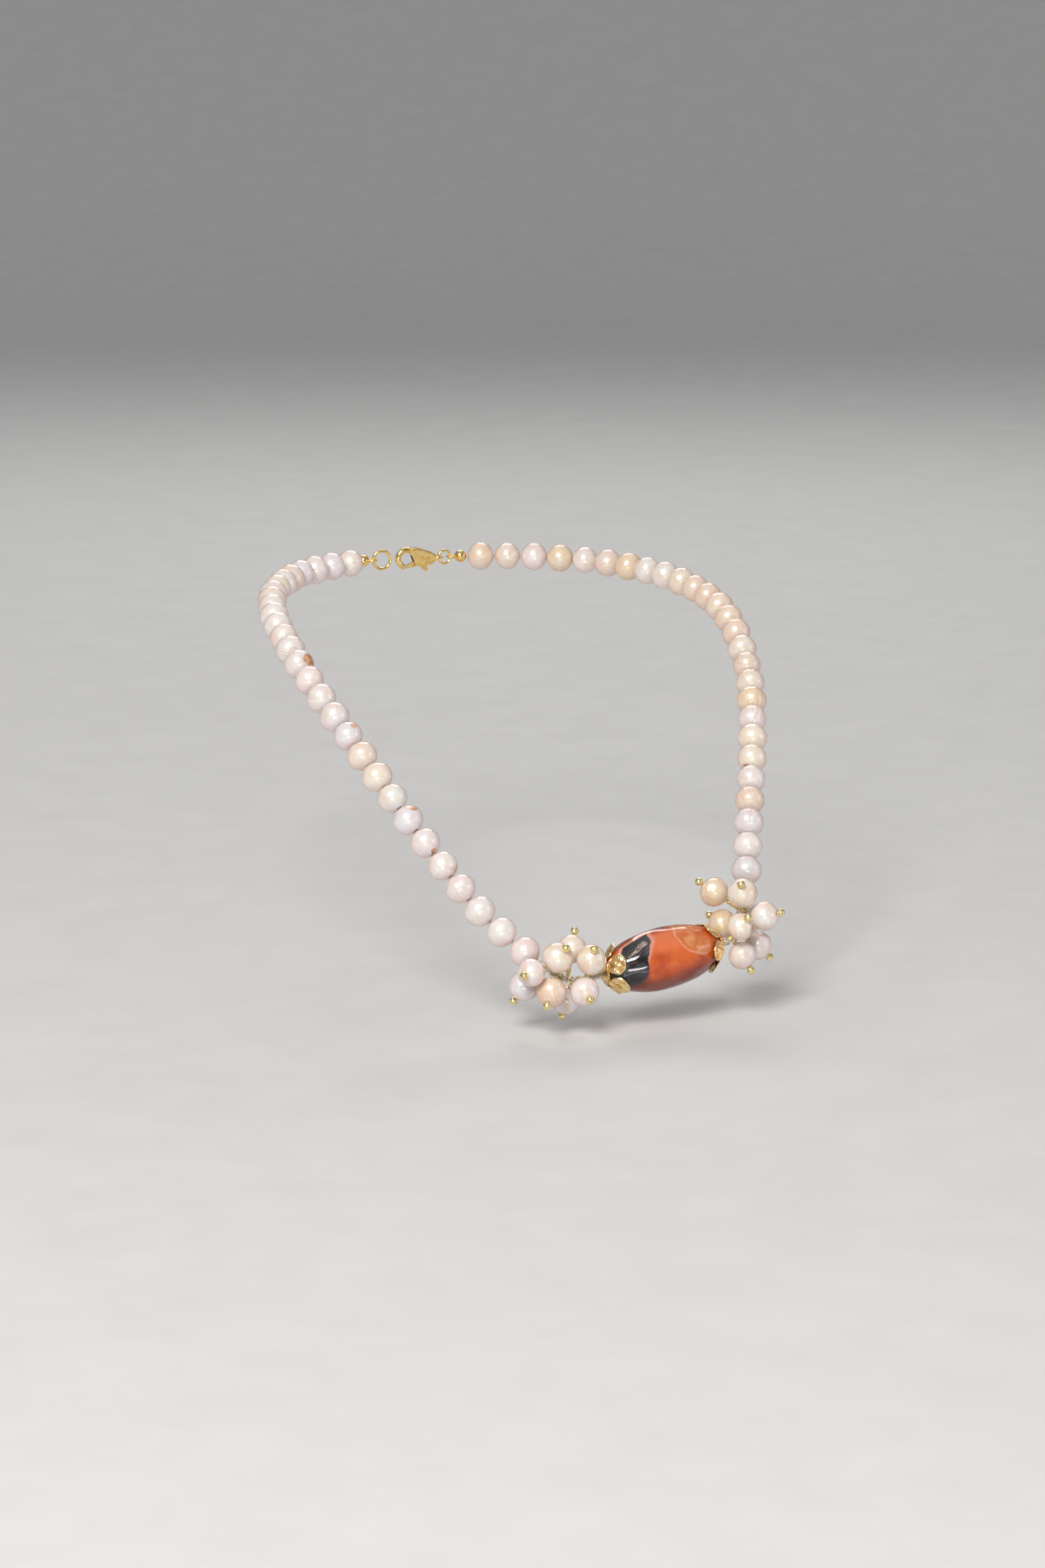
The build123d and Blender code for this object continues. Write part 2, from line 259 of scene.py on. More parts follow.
def nacre(name, warm, lustre):
    """Freshwater pearl.

    A pearl's points carry its own place in mm, its seed, its tint, and its grooves and blemishes.
    """
    mat, tree, shader = material(name)
    place, seed = attribute(tree, "place", "Vector"), attribute(tree, "seed")
    body = attribute(tree, "tint", "Color")
    clouds = noise(tree, place, 0.22, 2, seed)
    body = mix(tree, ramp(tree, clouds, [(0.44, 0.0), (0.74, 0.42)]), body, linear((0.93, 0.83, 0.82)))
    veil = noise(tree, place, 0.17, 2, maths(tree, "ADD", seed, 7.3))
    body = mix(tree, ramp(tree, veil, [(0.48, 0.0), (0.75, 0.4)]), body, linear((0.88, 0.89, 0.87)))
    peach = noise(tree, place, 0.3, 3, maths(tree, "ADD", seed, 17.1), 0.4)
    body = mix(tree, ramp(tree, peach, [(0.48, 0.0), (0.72, warm)]), body, linear((0.92, 0.76, 0.58)))
    groove = attribute(tree, "groove")
    body = mix(tree, maths(tree, "MULTIPLY", groove, 0.34), body, linear((0.80, 0.60, 0.46)))
    specks = noise(tree, place, 1.5, 2, maths(tree, "ADD", seed, 31.0))
    body = mix(tree, ramp(tree, specks, [(0.75, 0.0), (0.80, 0.35)]), body, linear((0.72, 0.48, 0.30)))
    scar = attribute(tree, "scar")
    flecks = noise(tree, place, 1.1, 4, seed)
    stain = [(0.33, (0.62, 0.38, 0.20)), (0.48, (0.84, 0.63, 0.42)), (0.62, (0.91, 0.80, 0.68))]
    body = mix(tree, scar, body, tones(tree, flecks, stain))
    link(tree, body, shader.inputs["Base Color"])
    satin = noise(tree, place, 0.9, 3, seed)
    rough = ramp(tree, satin, [(0.3, 0.25), (0.7, 0.37)])
    rough = mix(tree, maths(tree, "MAXIMUM", groove, scar), rough, (0.48, 0.48, 0.48))
    link(tree, rough, shader.inputs["Roughness"])
    fine = noise(tree, place, 5.0, 4, seed)
    swell = noise(tree, place, 0.8, 2, seed)
    height = maths(tree, "ADD", maths(tree, "MULTIPLY", fine, 0.12), swell)
    link(tree, bump(tree, height, 0.35, 0.00008), shader.inputs["Normal"])
    set_inputs(
        shader,
        {
            "Metallic": 0.12, "IOR": 1.9, "Specular Tint": (1.0, 0.93, 0.90, 1.0),
            "Subsurface Weight": 0.22, "Subsurface Radius": (1.0, 0.72, 0.5),
            "Subsurface Scale": 0.001, "Coat Weight": lustre, "Coat Roughness": 0.17,
            "Coat IOR": 1.55, "Sheen Weight": 0.10, "Sheen Roughness": 0.35,
            "Sheen Tint": (1.0, 0.82, 0.74, 1.0), "Thin Film Thickness": 330.0,
            "Thin Film IOR": 1.45,
        },
    )
    return mat


def gold(name, light, middle, dark, rough, coarse, place=None, relief_light_shade=None, depth=0.00004):
    """Gilt metal in mottled colours; on a piece whose raised parts and hollows are given, the colour also
    carries painted light where the metal stands proud and painted shade in its hollows.
    """
    mat, tree, shader = material(name)
    place = object_place(tree, 1000.0) if place is None else attribute(tree, place, "Vector")
    tone_and_shade = noise(tree, place, coarse, 4, None, 0.3)
    # On the caps half the mottling is painted light and shade, by how far each point stands proud.
    if relief_light_shade is not None:
        patches = maths(tree, "MULTIPLY", tone_and_shade, 0.5)
        tone_and_shade = maths(tree, "ADD", patches, maths(tree, "MULTIPLY", attribute(tree, relief_light_shade), 0.5))
    colour = tones(tree, tone_and_shade, [(0.20, dark), (0.36, middle), (0.56, light)])
    link(tree, colour, shader.inputs["Base Color"])
    wear = noise(tree, place, coarse * 3.1, 5)
    worn = ramp(tree, wear, [(0.3, rough * 0.75), (0.7, min(1.0, rough * 1.5))])
    link(tree, worn, shader.inputs["Roughness"])
    grain = noise(tree, place, coarse * 2.2, 6, None, 0.6)
    link(tree, bump(tree, grain, 0.6, depth), shader.inputs["Normal"])
    set_inputs(shader, {"Metallic": 1.0})
    return mat


def agate_stone():
    """Carnelian agate; the points carry the zones of the stone, with painted light and painted shade among
    them.
    """
    mat, tree, shader = material("agate_stone")
    place = attribute(tree, "place", "Vector")
    carnelian = [
        (0.32, (0.62, 0.19, 0.05)),
        (0.46, (0.74, 0.29, 0.09)),
        (0.58, (0.80, 0.37, 0.15)),
        (0.74, (0.84, 0.46, 0.24)),
    ]
    milky = [(0.35, (0.76, 0.36, 0.16)), (0.55, (0.80, 0.50, 0.30)), (0.75, (0.85, 0.64, 0.46))]
    smoky = [(0.3, (0.07, 0.05, 0.06)), (0.55, (0.16, 0.14, 0.16)), (0.80, (0.29, 0.30, 0.35))]
    sugary = [(0.15, (0.20, 0.14, 0.14)), (0.45, (0.52, 0.42, 0.40)), (0.85, (0.88, 0.80, 0.76))]
    lines = {"rim": (0.90, 0.66, 0.56), "vein": (0.58, 0.57, 0.58), "amber": (0.62, 0.45, 0.28)}
    body = tones(tree, noise(tree, place, 0.13, 3, None, 0.5), carnelian)
    streaks = noise(tree, place, 0.55, 4, None, 1.2)
    body = mix(tree, ramp(tree, streaks, [(0.5, 0.0), (0.8, 0.3)]), body, linear((0.88, 0.53, 0.32)))
    # Painted light on the upper front and painted shade towards the bottom and edges, laid over the stone's
    # colour.
    body = paint(tree, body, {"painted_light": (0.87, 0.48, 0.29), "deep": (0.40, 0.09, 0.03)})
    lens = tones(tree, noise(tree, place, 0.3, 4, None, 0.8), milky)
    body = mix(tree, attribute(tree, "lens"), body, lens)
    smoke = tones(tree, noise(tree, place, 0.35, 5, None, 0.7), smoky)
    smoke = paint(tree, smoke, {"blue": (0.46, 0.52, 0.60)})
    body = mix(tree, attribute(tree, "dark"), body, smoke)
    body = paint(tree, body, lines)
    crystals = tree.nodes.new("ShaderNodeTexVoronoi")
    link(tree, place, crystals.inputs["Vector"])
    crystals.inputs["Scale"].default_value = 5.5
    druzy = tones(tree, crystals.outputs["Color"], sugary)
    body = mix(tree, attribute(tree, "druzy"), body, druzy)
    # Painted shade: the druzy's pit is coloured near black.
    body = paint(tree, body, {"hole": (0.05, 0.03, 0.03)})
    link(tree, body, shader.inputs["Base Color"])
    polish = ramp(tree, noise(tree, place, 1.2, 3), [(0.3, 0.06), (0.75, 0.12)])
    polish = mix(tree, attribute(tree, "druzy"), polish, (0.35, 0.35, 0.35))
    link(tree, polish, shader.inputs["Roughness"])
    pits = maths(tree, "MULTIPLY", crystals.outputs["Distance"], attribute(tree, "druzy"))
    link(tree, bump(tree, pits, 0.8, 0.00012), shader.inputs["Normal"])
    set_inputs(
        shader,
        {
            "IOR": 1.54, "Subsurface Weight": 0.3, "Subsurface Radius": (1.0, 0.4, 0.2),
            "Subsurface Scale": 0.0016, "Coat Weight": 0.35, "Coat Roughness": 0.04,
        },
    )
    return mat


def nylon():
    mat, tree, shader = material("nylon_thread")
    place = attribute(tree, "place", "Vector")
    twist = noise(tree, place, 6.0, 3)
    fibre = tones(tree, twist, [(0.3, (0.78, 0.76, 0.70)), (0.7, (0.92, 0.91, 0.88))])
    link(tree, fibre, shader.inputs["Base Color"])
    link(tree, ramp(tree, twist, [(0.3, 0.28), (0.7, 0.42)]), shader.inputs["Roughness"])
    link(tree, bump(tree, twist, 0.4, 0.00003), shader.inputs["Normal"])
    set_inputs(shader, {"Transmission Weight": 0.3, "IOR": 1.53})
    return mat


def glass_bead():
    mat, tree, shader = material("glass_bead")
    place = object_place(tree, 1000.0)
    swirl = noise(tree, place, 1.3, 3, None, 0.8)
    honey = tones(tree, swirl, [(0.3, (0.80, 0.72, 0.58)), (0.7, (0.95, 0.92, 0.86))])
    link(tree, honey, shader.inputs["Base Color"])
    link(tree, ramp(tree, swirl, [(0.3, 0.05), (0.7, 0.12)]), shader.inputs["Roughness"])
    link(tree, bump(tree, swirl, 0.2, 0.00004), shader.inputs["Normal"])
    set_inputs(shader, {"Transmission Weight": 0.55, "IOR": 1.5})
    return mat


# ------------ shape helpers


def unit(v):
    v = np.asarray(v, float)
    return v / np.linalg.norm(v)


def across(axis):
    """Two unit vectors square to axis and to each other."""
    other = np.array((0.0, 0.0, 1.0)) if abs(axis[2]) < 0.9 else np.array((1.0, 0.0, 0.0))
    a = unit(np.cross(other, axis))
    return a, np.cross(axis, a)


def wobble(points, waves, rng):
    """Smooth random value at each point: a sum of waves, each (wavelength, amplitude)."""
    total = np.zeros(len(points))
    for length, amplitude in waves:
        for _ in range(4):
            direction = unit([rng.gauss(0, 1) for _ in range(3)])
            phase = points @ direction * (2 * math.pi / length) + rng.uniform(0, 2 * math.pi)
            total += amplitude / 2 * np.sin(phase)
    return total


def smooth(x, low, high):
    """0 below low, 1 above high, and a smooth step between."""
    t = np.clip((x - low) / (high - low), 0, 1)
    return t * t * (3 - 2 * t)


def ridge(distance, width):
    """1 where distance is 0, falling off smoothly on both sides."""
    return np.exp(-((distance / width) ** 2))


def circle(a, b, count):
    """Points of a unit circle in the plane of the unit vectors a and b."""
    turn = np.linspace(0, 2 * math.pi, count, endpoint=False)
    return np.outer(np.cos(turn), a) + np.outer(np.sin(turn), b)


def grid_faces(rows, columns, wrap_rows=False):
    """Quads of a grid of points, joined round its columns, and round its rows if asked."""
    last_row = rows if wrap_rows else rows - 1
    r, c = np.meshgrid(np.arange(last_row), np.arange(columns), indexing="ij")
    r, c = r.ravel() * columns, c.ravel()
    down, right = (r + columns) % (rows * columns), (c + 1) % columns
    return np.stack([r + c, down + c, down + right, r + right], axis=1)


def join(parts):
    """One set of points, faces and per-point values from several (points, faces, values)."""
    points, faces, values = [], [], {}
    start = 0
    for p, f, v in parts:
        points.append(p)
        faces += [[i + start for i in face] for face in (f.tolist() if isinstance(f, np.ndarray) else f)]
        for key, column in v.items():
            values.setdefault(key, []).append(column)
        start += len(p)
    return np.vstack(points), faces, {k: np.concatenate(v) for k, v in values.items()}


def add_piece(name, body, nodes, mat, parts):
    """Makes one piece of the visual model from points in mm, and rides it on its body.

    nodes are the CAD nodes that the piece stands for.
    """
    points, faces, values = join(parts)
    mesh = bpy.data.meshes.new(name)
    mesh.from_pydata((points * MM).tolist(), [], faces)
    mesh.validate()
    for key, column in values.items():
        if column.ndim == 1:
            kind, field = "FLOAT", "value"
        elif key == "place":
            kind, field = "FLOAT_VECTOR", "vector"
        else:
            kind, field = "FLOAT_COLOR", "color"
        layer = mesh.attributes.new(key, kind, "POINT")
        layer.data.foreach_set(field, np.ascontiguousarray(column, np.float32).ravel())
    mesh.polygons.foreach_set("use_smooth", [True] * len(mesh.polygons))
    mesh.materials.append(mat)
    piece = bpy.data.objects.new(name, mesh)
    bpy.context.scene.collection.objects.link(piece)
    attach(piece, body)
    if nodes:
        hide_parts(*nodes)


def tube(path, radius, sides=10):
    """Round bar along path. Each rounded end is three smaller rings, the last nearly a point."""
    path = np.asarray(path, float)
    tangents = np.gradient(path, axis=0)
    tangents /= np.linalg.norm(tangents, axis=1)[:, None]
    a, _ = across(tangents[0])
    circles = []
    for tangent in tangents:
        a = unit(a - tangent * (a @ tangent))
        circles.append(circle(a, np.cross(tangent, a), sides))
    rings = [point + radius * ring for point, ring in zip(path, circles)]
    steps = [(math.sin(u), math.cos(u)) for u in np.radians((30, 60))] + [(1.0, 0.02)]
    for end, way in ((0, -1), (-1, 1)):
        out = tangents[end] * way
        caps = [path[end] + radius * (far * out + wide * circles[end]) for far, wide in steps]
        rings = rings + caps if way > 0 else caps[::-1] + rings
    points = np.vstack(rings)
    faces = grid_faces(len(rings), sides)[:, ::-1].tolist()
    faces.append(list(range(sides)))
    faces.append(list(range(len(points) - sides, len(points)))[::-1])
    return points, faces, {"place": points}


def lathe(centre, axis, profile, segments):
    """Closed surface of revolution about axis; profile is a list of (radius, height)."""
    ring = circle(*across(axis), segments)
    points = np.vstack([centre + height * axis + radius * ring for radius, height in profile])
    return points, grid_faces(len(profile), segments, wrap_rows=True), {"place": points}


# ------------ what the CAD says


def solids_of(node):
    """Triangles of each separate solid in a CAD node: three corner points in mm for each."""
    bm = bmesh.new()
    bm.from_mesh(frame["nodes"][node].data)
    bmesh.ops.remove_doubles(bm, verts=bm.verts, dist=1e-7)
    bmesh.ops.triangulate(bm, faces=bm.faces)
    bm.verts.index_update()
    seen, found = set(), []
    for start in bm.faces:
        if start in seen:
            continue
        seen.add(start)
        group, stack = [], [start]
        while stack:
            face = stack.pop()
            group.append([v.index for v in face.verts])
            for edge in face.edges:
                for other in edge.link_faces:
                    if other not in seen:
                        seen.add(other)
                        stack.append(other)
        found.append(np.array(group))
    points = np.array([v.co for v in bm.verts]) / MM
    bm.free()
    return [points[group] for group in found]


RIM_SHARE, RIM_SLACK, END_SHARE = 0.35, 1.2, 0.8  # which points count as a drill hole's rims


def split(points, axis):
    """How far each point is along axis, and how far off it."""
    along = points @ axis
    return along, np.linalg.norm(points - np.outer(along, axis), axis=1)


def bead_facts(triangles):
    """Centre, drill axis, width, length and bore of a drilled bead."""
    sides = triangles[:, 1:] - triangles[:, :1]
    areas = np.linalg.norm(np.cross(sides[:, 0], sides[:, 1]), axis=1)[:, None]
    middle = triangles.mean(1)
    centre = (middle * areas).sum(0) / areas.sum()
    around = middle - centre
    values, vectors = np.linalg.eigh((around * areas).T @ around)
    lone = 0 if values[1] - values[0] > values[2] - values[1] else 2
    axis = vectors[:, lone]
    points = triangles.reshape(-1, 3) - centre
    for _ in range(2):
        along, off = split(points, axis)
        rim = off < max(RIM_SHARE * off.max(), RIM_SLACK * off.min())
        ends = [points[rim & (along * way > END_SHARE * along.max())].mean(0) for way in (1, -1)]
        axis = unit(ends[0] - ends[1])
    along, off = split(points, axis)
    facts = {"centre": centre, "axis": axis, "width": 2 * off.max(), "bore": 2 * off.min()}
    return {**facts, "length": np.ptp(along)}


def strand_of(side, groups, start):
    """Facts of the strand's pearls, group by group from the pendant outwards; each axis points outwards."""
    found, last = [], start
    for number in range(1, groups + 1):
        pearls = [bead_facts(t) for t in solids_of(f"{side}_strand_pearls_{number}")]
        ordered = []
        while pearls:
            nearest = min(pearls, key=lambda p: np.linalg.norm(p["centre"] - last))
            pearls = [p for p in pearls if p is not nearest]
            if nearest["axis"] @ (nearest["centre"] - last) < 0:
                nearest["axis"] = -nearest["axis"]
            ordered.append(nearest)
            last = nearest["centre"]
        found.append(ordered)
    return found


AGATE = bead_facts(solids_of("agate_bead")[0])
if AGATE["axis"][0] < 0:
    AGATE["axis"] = -AGATE["axis"]
SIDES = {"left": 8, "right": 7}  # groups of strand pearls on each side
SIGNS = {"left": -1, "right": 1}
STRANDS = {side: strand_of(side, groups, AGATE["centre"]) for side, groups in SIDES.items()}

DROPS_PER_SIDE = 8
LOOP_R, LOOP_REACH = 0.78, 1.03  # a pin loop's radius, and from its centre to its far edge
LOOP_SLACK = 0.05
HEAD_STANDS = 1.98  # how far a pin's head stands out of its pearl


def drop_of(side, number):
    """Facts of a cluster pearl and of the headpin loop that it hangs from."""
    pearl = bead_facts(solids_of(f"{side}_cluster_pearl_{number}")[0])
    pin = solids_of(f"{side}_headpin_{number}")[0].reshape(-1, 3)
    along = (pin - pearl["centre"]) @ pearl["axis"]
    head_reach = pearl["length"] / 2 + HEAD_STANDS
    if abs(-along.min() - head_reach) < abs(along.max() - head_reach):
        pearl["axis"], along = -pearl["axis"], -along
    pearl["head"] = along.max()
    pearl["loop"] = pearl["centre"] + pearl["axis"] * (along.min() + LOOP_REACH)
    near = pin - pearl["loop"]
    near = near[np.linalg.norm(near, axis=1) < LOOP_REACH + LOOP_SLACK]
    hole = np.linalg.eigh(near.T @ near)[1][:, 0]
    pearl["hole"] = unit(hole - pearl["axis"] * (hole @ pearl["axis"]))
    return pearl


DROPS = {side: [drop_of(side, n + 1) for n in range(DROPS_PER_SIDE)] for side in SIDES}

# ------------ pearls

TO_LENS = np.array(TO_CAMERA)
WHITE, ROSE, CREAM, CHAMPAGNE, LILAC, PEACH = (
    (0.950, 0.925, 0.900),
    (0.950, 0.905, 0.885),
    (0.955, 0.910, 0.835),
    (0.940, 0.860, 0.725),
    (0.925, 0.905, 0.910),
    (0.950, 0.860, 0.760),
)
ROWS, SEGMENTS = 46, 72
MOUTH_START, MOUTH_LIP = 0.16, 0.06  # from the bore's edge to the shell's first row, and to its lip
LIP_DROP, BORE_DEPTH = 0.07, 0.6  # how far inside the shell's end the bore starts, and ends
RING_START = 0.35  # radians from the ring axis to the first growth ring
SCAR_DEPTH, DENT_DEPTH = 0.012, 0.045


def pearl_mesh(
    facts, bore, seed, tint, rings=0.15, ring_axis=None, lumps=1.0, scar=None, dent=None
):
    """One freshwater pearl.

    rings is how deep its growth rings are; scar and dent are (direction, radius in radians).
    """
    rng = random.Random(seed)
    axis = facts["axis"]
    a, b = across(axis)

    def own(direction):
        """A direction on the pearl's own axes."""
        return unit((direction @ a, direction @ b, direction @ axis))

    radius, half, mouth = facts["width"] / 2, facts["length"] / 2, bore / 2
    open_angle = math.asin((mouth + MOUTH_START) / radius)
    polar = np.linspace(open_angle, math.pi - open_angle, ROWS)
    turn = np.linspace(0, 2 * math.pi, SEGMENTS, endpoint=False)
    pp, tt = (grid.ravel() for grid in np.meshgrid(polar, turn, indexing="ij"))
    d = np.stack([np.sin(pp) * np.cos(tt), np.sin(pp) * np.sin(tt), np.cos(pp)], axis=1)
    if ring_axis is None:
        ring_axis = unit((rng.gauss(0, 1), rng.gauss(0, 1), rng.gauss(0, 0.25)))
    else:
        ring_axis = own(ring_axis)
    angle = np.arccos(np.clip(d @ ring_axis, -1, 1))
    groove = np.zeros(len(d))
    where = RING_START
    while where < math.pi - RING_START:
        depth, thick = rng.uniform(0.35, 1.0), rng.uniform(0.035, 0.075)
        bend = wobble(d, [(2.4, 0.05)], rng)
        groove += depth * ridge(angle + bend - where, thick)
        where += rng.uniform(0.16, 0.42)
    fade = smooth(wobble(d, [(2.2, 0.8)], rng), -0.5, 0.6)
    groove = np.clip(groove, 0, 1.2) * (0.35 + 0.65 * fade)
    scale = 1.0 + lumps * wobble(d, [(3.4, 0.010), (1.6, 0.006), (0.8, 0.002)], rng)
    scale -= 0.022 * rings * groove
    scale -= 0.012 * abs(rng.gauss(0, 1)) * np.abs(d @ ring_axis) ** 4
    marks = np.zeros(len(d))
    for spot, inward in ((scar, SCAR_DEPTH), (dent, DENT_DEPTH)):
        if spot is not None:
            direction, size = spot
            off = np.arccos(np.clip(d @ own(direction), -1, 1)) + wobble(d, [(1.1, 0.12)], rng)
            inside = 1 - smooth(off, size * 0.7, size)
            scale -= inward * inside
            if spot is scar:
                marks = inside
    near_hole = smooth(np.abs(d[:, 2]), 0.9, 0.985)
    scale = scale / scale.max() * (1 - near_hole) + near_hole
    shell = d * np.array((radius, radius, half)) * scale[:, None]
    ring = np.stack([np.cos(turn), np.sin(turn), np.zeros(SEGMENTS)], axis=1)
    steps = [(mouth + MOUTH_LIP, 0.0), (mouth, LIP_DROP), (mouth, BORE_DEPTH)]
    ends = []
    for row, sign in ((shell[:SEGMENTS], 1), (shell[-SEGMENTS:], -1)):
        level = row[:, 2].mean()
        ends.append([ring * r + np.array((0, 0, level - sign * deep)) for r, deep in steps])
    body = np.vstack([shell, *ends[1], *ends[0][::-1]])
    in_bore = np.zeros(len(body) - len(shell))
    values = {
        "place": body,
        "seed": np.full(len(body), rng.uniform(0, 40)),
        "tint": np.tile((*linear(tint), 1.0), (len(body), 1)),
        "groove": np.concatenate([np.clip(groove * min(1.0, 0.25 + rings), 0, 1), in_bore]),
        "scar": np.concatenate([marks, in_bore]),
    }
    points = facts["centre"] + body[:, :1] * a + body[:, 1:2] * b + body[:, 2:3] * axis
    return points, grid_faces(len(body) // SEGMENTS, SEGMENTS, wrap_rows=True), values


def blend_tint(a, b, amount):
    return tuple(x + (y - x) * amount for x, y in zip(a, b))


def along_strand(facts):
    """The ring axis that makes growth rings run along the strand as the camera sees them."""
    return unit(np.cross(facts["axis"], TO_LENS))


RIGHTWARD = unit(np.cross((0, 0, 1), TO_LENS))
UPWARD = np.cross(TO_LENS, RIGHTWARD)


def towards(right, up, lens=1.0):
    """A direction by how it looks from the camera."""
    return unit(right * RIGHTWARD + up * UPWARD + lens * TO_LENS)


# Strand pearls that stand out, counted from the pendant on each side.
STRAND_TRAITS = {
    ("left", 1): {"tint": ROSE},
    ("left", 2): {"tint": WHITE, "rings": 0.1},
    ("left", 3): {"tint": WHITE, "rings": 0.1},
    ("left", 4): {"tint": ROSE, "rings": 1.0, "striped": True},
    ("left", 5): {"tint": WHITE, "scar": (towards(0.9, -0.1, 0.1), 0.45)},
    ("left", 6): {"tint": ROSE, "scar": (towards(0.7, -0.55, 0.6), 0.13)},
    ("left", 7): {"tint": LILAC, "scar": (towards(0.45, 0.85, 0.35), 0.3)},
    ("left", 8): {"tint": (0.930, 0.925, 0.885)},
    ("left", 9): {"tint": CREAM, "rings": 0.1},
    ("left", 11): {"tint": LILAC, "rings": 0.5, "scar": (towards(0.4, 0.75, 0.55), 0.28)},
    ("left", 15): {"tint": WHITE, "rings": 0.6, "scar": (towards(0.95, 0.25, 0.35), 0.75)},
    ("left", 16): {"tint": WHITE, "rings": 1.2, "dent": (towards(0.35, -0.2, 0.9), 0.35)},
    ("right", 1): {"tint": (0.915, 0.905, 0.900), "dent": (towards(0.45, -0.2, 0.8), 0.3)},
    ("right", 2): {"tint": WHITE, "rings": 0.05},
    ("right", 3): {"tint": LILAC, "rings": 1.2, "striped": True},
    ("right", 4): {"tint": PEACH},
    ("right", 5): {"tint": WHITE},
    ("right", 6): {"tint": CREAM, "scar": (towards(-0.35, -0.75, 0.6), 0.4)},
    ("right", 7): {"tint": CREAM, "scar": (towards(-0.2, -0.8, 0.6), 0.35)},
    ("right", 8): {"tint": ROSE, "rings": 1.3, "dent": (towards(0.7, 0.1, 0.6), 0.4)},
    ("right", 9): {"tint": CHAMPAGNE, "rings": 1.2, "striped": True},
    ("right", 10): {"tint": CREAM, "rings": 1.8, "lumps": 1.6},
    ("right", 11): {"tint": PEACH, "rings": 0.7},
    ("right", 12): {"tint": CREAM, "rings": 0.9},
}


PALETTES = {
    "left": (WHITE, ROSE, WHITE, CREAM, LILAC, ROSE, PEACH),
    "right": (CREAM, ROSE, CREAM, PEACH, WHITE, CHAMPAGNE),
}
RING_DEPTHS = {"left": (0.1, 0.2, 0.5), "right": (0.2, 0.6, 1.0, 1.3)}
STRAND_BORE, CLUSTER_BORE = 1.0, 0.8


def make_strand(mat):
    for side, palette in PALETTES.items():
        number = 0
        for group, pearls in enumerate(STRANDS[side], 1):
            parts = []
            for facts in pearls:
                number += 1
                rng = random.Random(100 * number + (side == "right"))
                tint = blend_tint(rng.choice(palette), rng.choice(palette), rng.random())
                traits = {"tint": tint, "rings": rng.choice(RING_DEPTHS[side])}
                traits.update(STRAND_TRAITS.get((side, number), {}))
                if traits.pop("striped", False):
                    traits["ring_axis"] = along_strand(facts)
                seed = 1000 * number + (side == "right")
                parts.append(pearl_mesh(facts, STRAND_BORE, seed, **traits))
            body = "front" if group == 1 else f"{side}_strand_{group}"
            nodes = [f"{side}_strand_pearls_{group}"]
            add_piece(f"{side}_pearls_{group}", body, nodes, mat, parts)


DROP_TRAITS = {
    ("left", 1): {"tint": CREAM, "rings": 0.6, "lumps": 1.5, "dent": (towards(0.55, -0.35, 0.7), 0.5)},
    ("left", 2): {"tint": ROSE, "rings": 0.15},
    ("left", 3): {"tint": LILAC, "rings": 0.2},
    ("left", 4): {"tint": CREAM, "rings": 0.2},
    ("left", 5): {"tint": PEACH, "rings": 0.9, "ring_axis": towards(0.95, 0.1, 0.25)},
    ("left", 6): {"tint": CREAM, "rings": 0.15},
    ("left", 7): {"tint": ROSE, "rings": 0.25},
    ("left", 8): {"tint": LILAC, "rings": 0.5},
    ("right", 1): {
        "tint": CREAM,
        "rings": 0.5,
        "ring_axis": towards(0.9, 0.1, 0.2),
        "scar": (towards(0.95, -0.25, 0.35), 0.42),
    },
    ("right", 2): {"tint": ROSE, "rings": 0.1},
    ("right", 3): {"tint": CHAMPAGNE, "rings": 2.4, "ring_axis": towards(0.9, 0.35, 0.3), "lumps": 1.4},
    ("right", 4): {"tint": ROSE, "rings": 0.2},
    ("right", 5): {"tint": WHITE, "rings": 0.3},
    ("right", 6): {"tint": CHAMPAGNE, "rings": 0.6, "lumps": 1.5, "dent": (towards(-0.3, 0.3, 0.9), 0.25)},
    ("right", 7): {"tint": CREAM, "rings": 0.15},
    ("right", 8): {"tint": WHITE, "rings": 0.3},
}


def make_drops(mat, pin_mat):
    for side in SIDES:
        for number, facts in enumerate(DROPS[side], 1):
            seed = 7000 + 10 * number + (side == "right")
            pearl = pearl_mesh(facts, CLUSTER_BORE, seed, **DROP_TRAITS[side, number])
            pin = headpin(facts, seed)
            body = f"{side}_drop_{number}"
            node = f"{side}_cluster_pearl_{number}"
            add_piece(f"{side}_drop_pearl_{number}", body, [node], mat, [pearl])
            node = f"{side}_headpin_{number}"
            add_piece(f"{side}_drop_pin_{number}", body, [node], pin_mat, pin)


# ------------ headpins

WIRE_R = 0.2
HEAD_R = 1.0
LOOP_LEAN = 0.16  # how far each end of the loop leans off its middle
NECK_START, NECK_GAP = 0.35, 0.25  # from the loop to the wrapped neck, and from there to the pearl
WRAP_PITCH = 2 * WIRE_R * 1.04
WRAP_STEPS = 14  # points in each turn of the wrapped neck


